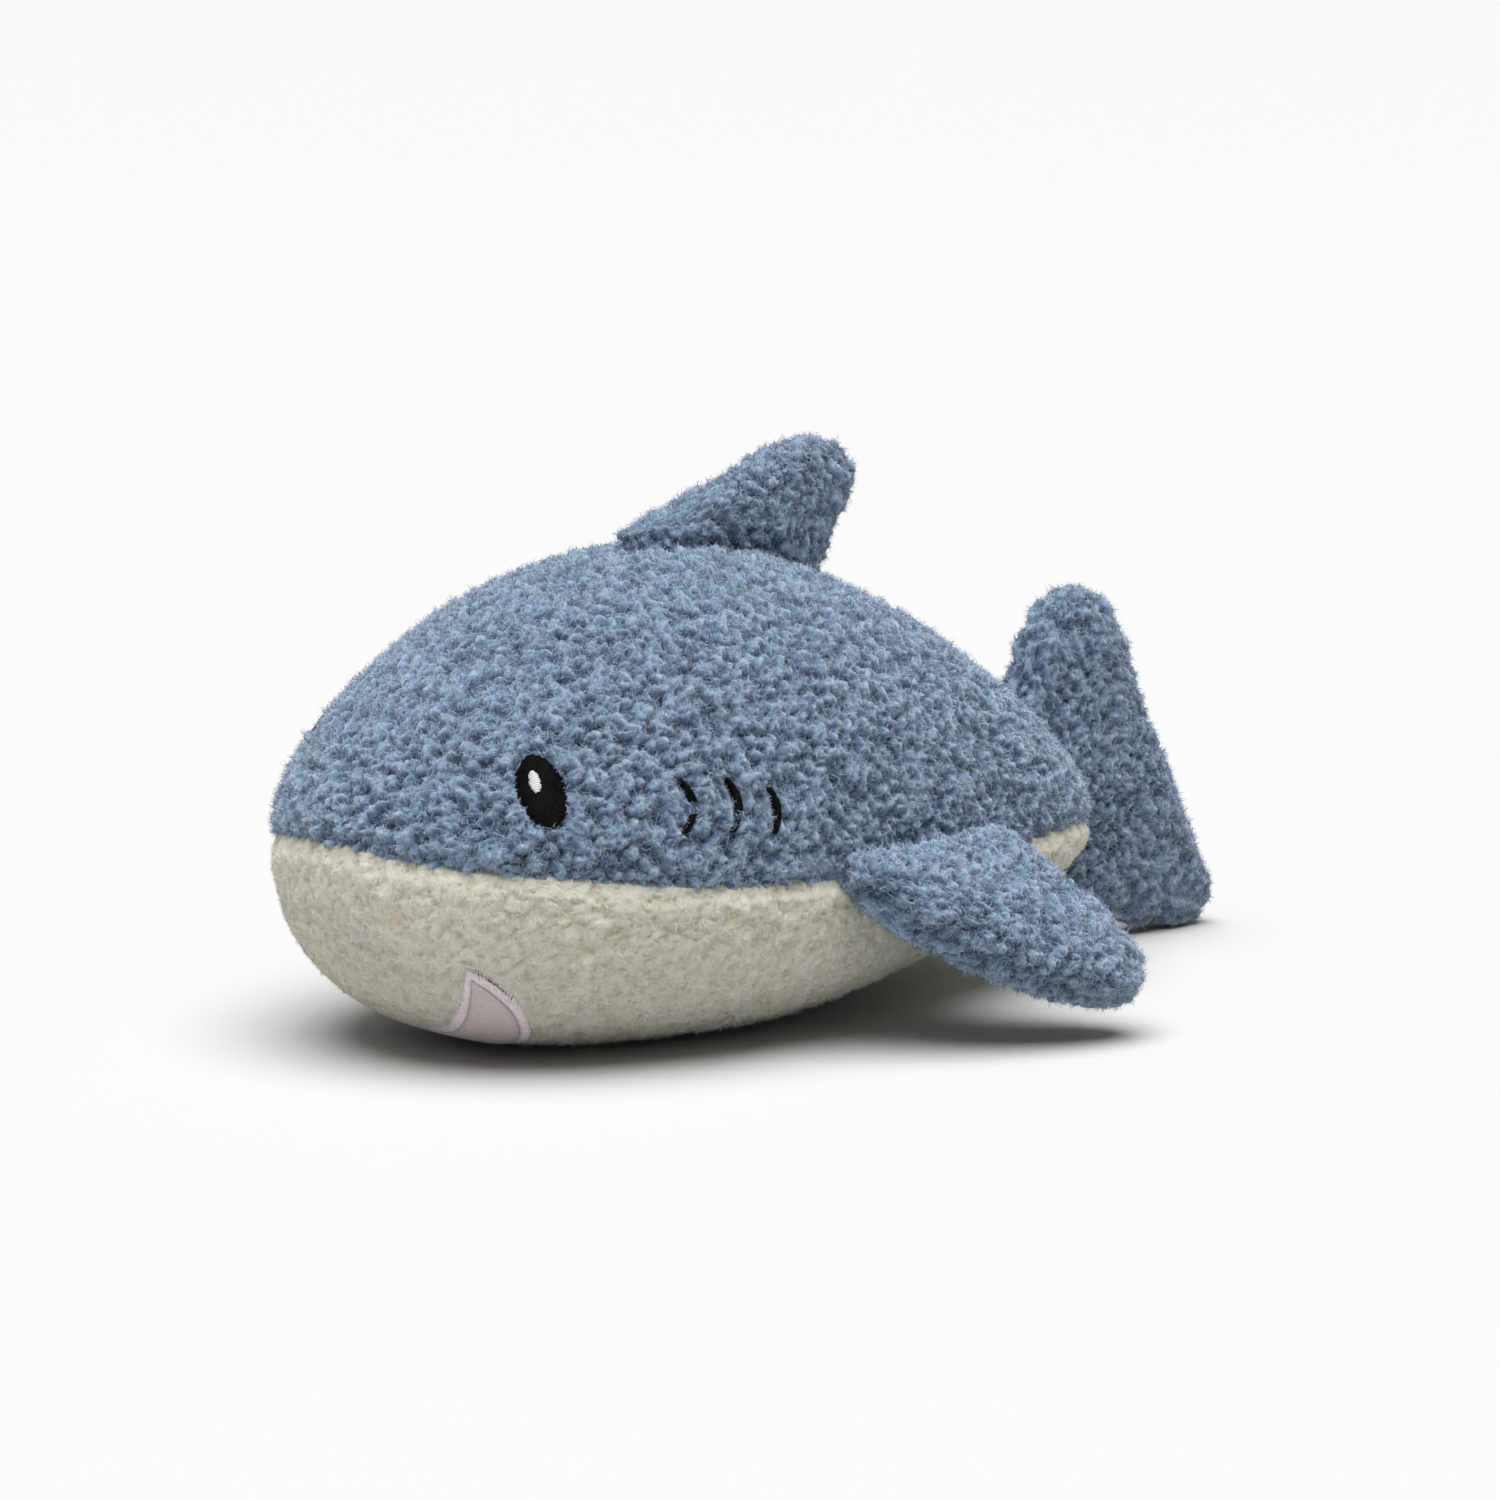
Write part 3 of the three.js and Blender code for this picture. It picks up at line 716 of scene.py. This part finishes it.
class FinPlan:
    """A fin's middle plane and outline, read off its CAD cloth halves and stuffing."""

    def __init__(self, halves, fill):
        stuffing = node_points(fill)
        self.centre = stuffing.mean(0)
        axes = np.linalg.svd(stuffing - self.centre)[2]
        self.normal = axes[2]
        if self.normal @ (node_points(halves[0]).mean(0) - self.centre) < 0:
            self.normal = -self.normal
        self.across = axes[0]
        self.along = np.cross(self.normal, self.across)
        skins = node_points(*halves) - self.centre
        self.half_thickness = (skins @ self.normal).max()
        rim = skins[np.abs(skins @ self.normal) < 0.3 * MM]
        flat = np.column_stack([rim @ self.across, rim @ self.along])
        angle = np.arctan2(flat[:, 1], flat[:, 0])
        radius = np.hypot(flat[:, 0], flat[:, 1])
        order = np.argsort(angle)
        angle, radius = angle[order], radius[order]
        fresh = np.concatenate([[True], np.diff(angle) > 0.01])
        group = np.cumsum(fresh) - 1
        outer = np.array([radius[group == k].max() for k in range(group.max() + 1)])
        turn = angle[fresh]
        ring = np.column_stack([outer * np.cos(turn), outer * np.sin(turn)])
        closed = np.concatenate([ring[-2:], ring, ring[:3]])
        dense = smooth_steps(closed, np.linspace(2, len(ring) + 2, 40 * len(ring), endpoint=False))
        dense = self._bitten(dense)
        dense_angle = np.arctan2(dense[:, 1], dense[:, 0])
        order = np.argsort(dense_angle)
        self.turn = dense_angle[order]
        self.radius = np.hypot(dense[:, 0], dense[:, 1])[order]
        reach = 0.8 * (dense.max(0) - dense.min(0)) / FIN_SPACING
        self.cells = (int(reach[0]), int(reach[1]), int(1.6 * self.half_thickness / FIN_SPACING) + 30)

    def _bitten(self, outline):
        """The outline with the stretch beside the body run on into it."""
        at = self.centre + outline[:, :1] * self.across + outline[:, 1:] * self.along
        found = [BODY_TREE.find_nearest(Vector(p)) for p in at]
        nearest = np.array([list(f[0]) for f in found])
        distance = np.array([f[3] for f in found])
        towards = (nearest - at) / distance[:, None]
        step = np.roll(outline, -1, axis=0) - np.roll(outline, 1, axis=0)
        outwards = unit(step[:, 1:] * self.across - step[:, :1] * self.along)
        facing = np.einsum("ij,ij->i", outwards, towards)
        near = np.clip((ROOT_RANGE - distance) / ROOT_EASE, 0, 1) * np.clip(2 * facing + 0.4, 0, 1)
        drawn = (ROOT_BITE + distance) * near * near * (3 - 2 * near)
        moved = at + towards * drawn[:, None] - self.centre
        return np.column_stack([moved @ self.across, moved @ self.along])

    def at(self, directions):
        turn = np.arctan2(directions[:, 1], directions[:, 0])
        flat = np.hypot(directions[:, 0], directions[:, 1])
        reach = np.interp(turn, self.turn, self.radius, period=2 * math.pi) * flat
        rise = np.sign(directions[:, 2]) * np.abs(directions[:, 2]) ** FIN_FULLNESS * self.half_thickness
        return (self.centre + (reach * np.cos(turn))[:, None] * self.across
                + (reach * np.sin(turn))[:, None] * self.along + rise[:, None] * self.normal)


def fin_pieces(fin, halves, body):
    """Two cloth halves and their stuffing."""
    fill = f"{fin}_fill"
    seed = SEEDS[fin]
    plan = FinPlan(halves, fill)
    directions, quads = sphere_cells(plan.cells, everywhere)
    points = plan.at(directions)
    sunk = seam_sink(np.abs(directions[:, 2]) * FIN_GIRTH, FIN_SEAM_DEPTH)
    points, share, tints = piled(points, quads, FIN_PILE, seed, 0, sunk)
    for half, side in zip(halves, (1, -1)):
        name = half.split("_")[-1]
        kept = side * directions[quads].mean(1)[:, 2] > 0
        piece = cut(f"{fin}_cloth_{name}", points, quads, share, tints, kept, BLUE)
        fibres = fuzz(f"{fin}_fibres_{name}", points, quads[kept], seed + SEEDS["fin_fibres"] + side,
                      BLUE_FUZZ, BLUE_FIBRES)
        for each in (piece, fibres):
            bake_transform(each)
            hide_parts(half)
    stuffing(f"{fin}_stuffing", fill, body, plan.at, FIN_STUFFING, plan.centre)


def stuffing(name, node, body, surface, share, centre):
    directions, quads = sphere_cells(FILL_CELLS, everywhere)
    points = centre + (surface(directions) - centre) * share
    lumps = np.random.default_rng(len(points)).normal(0, 0.25 * MM, points.shape)
    piece = new_mesh(name, points + lumps, quads, FIBRE)
    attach(piece, body)
    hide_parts(node)


for fin in ("dorsal", "tail"):
    fin_pieces(fin, (f"{fin}_panel_left", f"{fin}_panel_right"), f"{fin}_fin")
for fin in ("pectoral_left", "pectoral_right"):
    fin_pieces(fin, (f"{fin}_top", f"{fin}_bottom"), fin)
stuffing("body_stuffing", "body_fill", "body", body_surface.at, BODY_STUFFING, BODY_MIDDLE)


# ---------------------------------------------------------------- embroidery

def tubes(paths, radius, sides=6):
    """One mesh of open-ended tubes. paths is (tubes, steps, 3); radius is (tubes, steps)."""
    paths = np.asarray(paths)
    count, steps = paths.shape[:2]
    along = unit(np.gradient(paths, axis=1))
    side = unit(np.cross(along, paths[:, -1:] - paths[:, :1] + np.array([0.013, 0.017, 1.0])))
    up = np.cross(side, along)
    angle = np.arange(sides) / sides * 2 * math.pi
    ring = (side[:, :, None] * np.cos(angle)[:, None] + up[:, :, None] * np.sin(angle)[:, None])
    points = (paths[:, :, None] + ring * np.asarray(radius)[:, :, None, None]).reshape(-1, 3)
    first = (np.arange(count)[:, None, None] * steps + np.arange(steps - 1)[None, :, None]) * sides
    j = np.arange(sides)[None, None]
    nxt = (j + 1) % sides
    quads = np.stack([first + j, first + nxt, first + sides + nxt, first + sides + j], -1).reshape(-1, 4)
    return points, quads


class StitchFrame:
    """A flat drawing frame over the body: its points are projected onto the body's surface."""

    def __init__(self, at, out, up):
        self.out = Vector(out).normalized()
        self.up = (Vector(up) - Vector(up).dot(self.out) * self.out).normalized()
        self.side = self.up.cross(self.out)
        self.at = Vector(at)

    def leant(self, degrees):
        """The same frame with its top turned towards -side."""
        turn = math.radians(degrees)
        up = self.up * math.cos(turn) - self.side * math.sin(turn)
        return StitchFrame(self.at, self.out, up)

    def put(self, x, y, lift):
        start = self.at + self.side * x + self.up * y + self.out * 0.03
        hit, normal = BODY_TREE.ray_cast(start, -self.out)[:2]
        if normal.dot(self.out) < 0:
            normal = -normal
        return hit + normal * lift


def frame_on(node):
    low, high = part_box(node)
    middle = (low + high) / 2
    at, normal = BODY_TREE.find_nearest(middle)[:2]
    if normal.dot(middle - Vector(BODY_MIDDLE)) < 0:
        normal = -normal
    return StitchFrame(at, normal, (0, 0, 1))


def satin(name, node, stitch_frame, rows, lift, arch, made, radius=THREAD_RADIUS):
    """Satin stitch: one thread for each row, from its start to its end, bowed over the cloth."""
    paths = []
    for (x0, y0), (x1, y1) in rows:
        path = []
        for k in range(THREAD_STEPS):
            s = k / (THREAD_STEPS - 1)
            bow = math.sin(math.pi * s) ** 0.6
            height = lift + arch * bow - THREAD_DIP * (1 - bow) ** 3
            path.append(list(stitch_frame.put(x0 + (x1 - x0) * s, y0 + (y1 - y0) * s, height)))
        paths.append(path)
    points, quads = tubes(paths, np.full((len(paths), THREAD_STEPS), radius))
    piece = new_mesh(name, points, quads, made)
    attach(piece, "body")
    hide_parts(node)
    return piece


def oval_rows(width, height, seed, at=(0, 0)):
    random = np.random.default_rng(seed)
    rows = []
    count = int(height / THREAD_PITCH)
    for k in range(count):
        y = ((k + 0.5) / count - 0.5) * height
        half = width / 2 * math.sqrt(max(0, 1 - (2 * y / height) ** 2))
        jitter = random.normal(0, 0.12 * MM, 2)
        start = (at[0] - half + jitter[0], at[1] + y)
        rows.append((start, (at[0] + half + jitter[1], at[1] + y + 0.1 * MM)))
    return rows


def gill_rows(gill, seed):
    """Stitches across a gill bar, but for its bare stretch."""
    random = np.random.default_rng(seed)
    height, bare = gill["height"], gill["bare"]
    rows = []
    count = int(height / (0.9 * THREAD_PITCH))
    for k in range(count):
        along = 2 * (k + 0.5) / count - 1
        if bare[0] < (along + 1) / 2 < bare[1]:
            continue
        middle = gill["bulge"] * (0.5 - along * along)
        half = GILL_HALF_WIDTH * math.cos(along * 1.2) + random.normal(0, 0.07 * MM)
        rows.append(((middle - half, along * height / 2), (middle + half, along * height / 2)))
    return rows


def face(side, sign):
    eye = frame_on(f"eye_{side}").leant(EYE["lean"] * sign)
    rows = oval_rows(EYE["width"], EYE["height"], SEEDS["eye"])
    satin(f"eye_stitches_{side}", f"eye_{side}", eye, rows, EYE["lift"], EYE["arch"],
          BLACK_THREAD)
    rows = oval_rows(EYE_LIGHT["width"], EYE_LIGHT["height"], SEEDS["eye_light"],
                     at=(-sign * EYE_LIGHT["forward"], EYE_LIGHT["up"]))
    satin(f"eye_light_stitches_{side}", f"eye_light_{side}", eye, rows, EYE_LIGHT["lift"], EYE_LIGHT["arch"],
          WHITE_THREAD)
    for k, gill in GILLS.items():
        rows = gill_rows(gill, SEEDS["gill"] + int(k))
        if sign < 0:
            rows = [((-b[0], b[1]), (-a[0], a[1])) for a, b in rows]
        satin(f"gill_stitches_{k}_{side}", f"gill_{k}_{side}", frame_on(f"gill_{k}_{side}"), rows,
              GILL_LIFT, GILL_ARCH, BLACK_THREAD)


face("left", 1)
face("right", -1)


# ---------------------------------------------------------------- mouth

def lip_curve(points, count):
    rows = np.array(points, float)
    rows = np.concatenate([[2 * rows[0] - rows[1]], rows, [2 * rows[-1] - rows[-2]]])
    if points[0][0] == 0:
        rows[0] = (-points[1][0], points[1][1])
    if points[-1][0] == 0:
        rows[-1] = (-points[-2][0], points[-2][1])
    return smooth_steps(rows, np.linspace(1, len(points), count)) * MM


mouth = StitchFrame([c * MM for c in MOUTH_AT], MOUTH_OUT, MOUTH_UP)


def evenly(outline, count):
    lengths = np.concatenate([[0], np.cumsum(np.linalg.norm(np.diff(outline, axis=0), axis=1))])
    places = (np.arange(count) + 0.5) / count * lengths[-1]
    return np.column_stack([np.interp(places, lengths, outline[:, k]) for k in range(2)])


def mouth_border():
    """Threads across the border, from just inside the felt's edge to the outline."""
    random = np.random.default_rng(SEEDS["mouth"])
    rows = []
    for inner, outer in ((FELT_LOWER, MOUTH_LOWER), (FELT_UPPER, MOUTH_UPPER)):
        inner, outer = lip_curve(inner, 80), lip_curve(outer, 80)
        count = int(np.linalg.norm(np.diff(outer, axis=0), axis=1).sum() / (1.05 * THREAD_PITCH))
        inner, outer = evenly(inner, count), evenly(outer, count)
        inner = inner + (inner - outer) * BORDER_OVERLAP
        for mirror in ((1, 1), (-1, 1)):
            start = (inner + random.normal(0, 0.04 * MM, inner.shape)) * mirror
            end = (outer + random.normal(0, 0.09 * MM, outer.shape)) * mirror
            rows += [(tuple(a), tuple(b)) for a, b in zip(start, end)]
    satin("mouth_border_stitches", "mouth_border", mouth, rows, BORDER_LIFT, BORDER_ARCH,
          LILAC_THREAD, BORDER_THREAD_RADIUS)


def mouth_felt():
    count = 60
    rings = 8
    lower = lip_curve(FELT_LOWER, count)
    upper = lip_curve(FELT_UPPER, count)[::-1]
    half = [lower * (1 - s) + upper * s for s in np.linspace(0, 1, rings)]
    points = []
    for row in half:
        full = np.concatenate([row[::-1] * np.array([-1, 1]), row[1:]])
        points.append([list(mouth.put(x, y, 0.05 * MM)) for x, y in full])
    grid = np.array(points)
    across = grid.shape[1]
    index = np.arange(grid.shape[0] * across).reshape(grid.shape[0], across)
    quads = np.stack([index[:-1, :-1], index[:-1, 1:], index[1:, 1:], index[1:, :-1]], -1)
    quads = quads.reshape(-1, 4)
    quads = quads[[len(set(q)) == 4 for q in quads.tolist()]]
    piece = new_mesh("mouth_felt_patch", grid.reshape(-1, 3), quads, FELT)
    thick = piece.modifiers.new("thickness", "SOLIDIFY")
    thick.thickness = FELT_THICKNESS
    thick.offset = 0
    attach(piece, "body")
    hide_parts("mouth_felt")


mouth_border()
mouth_felt()


# ---------------------------------------------------------------- stage, light and camera

def floor():
    made, _, shader = material("studio_floor", 0.9)
    shader.inputs["Base Color"].default_value = (FLOOR_GREY, FLOOR_GREY, FLOOR_GREY, 1)
    corners = [(x * FLOOR_HALF, y * FLOOR_HALF, 0) for x, y in ((-1, -1), (1, -1), (1, 1), (-1, 1))]
    piece = new_mesh("floor", corners, [(0, 1, 2, 3)], made)


def lights():
    """A pale studio: even light from everywhere, and a very soft key light from above and in front."""
    world = bpy.data.worlds.new("studio")
    world.use_nodes = True
    world.node_tree.nodes["Background"].inputs["Color"].default_value = (1, 1, 1, 1)
    world.node_tree.nodes["Background"].inputs["Strength"].default_value = WORLD_STRENGTH
    bpy.context.scene.world = world
    data = bpy.data.lights.new("key", "SUN")
    data.angle = math.radians(SUN_SPREAD)
    data.energy = SUN_STRENGTH
    lamp = bpy.data.objects.new("key", data)
    lamp.rotation_euler = SUN_DIRECTION.to_track_quat("-Z", "Y").to_euler()
    bpy.context.scene.collection.objects.link(lamp)


def camera():
    data = bpy.data.cameras.new("camera")
    data.lens = CAMERA_LENS
    data.sensor_width = 36
    data.clip_start = 0.05
    made = bpy.data.objects.new("camera", data)
    made.location = CAMERA_AT
    made.rotation_euler = (CAMERA_AIM - CAMERA_AT).to_track_quat("-Z", "Y").to_euler()
    bpy.context.scene.collection.objects.link(made)
    bpy.context.scene.camera = made


floor()
lights()
camera()
bpy.context.scene.view_settings.view_transform = "Standard"
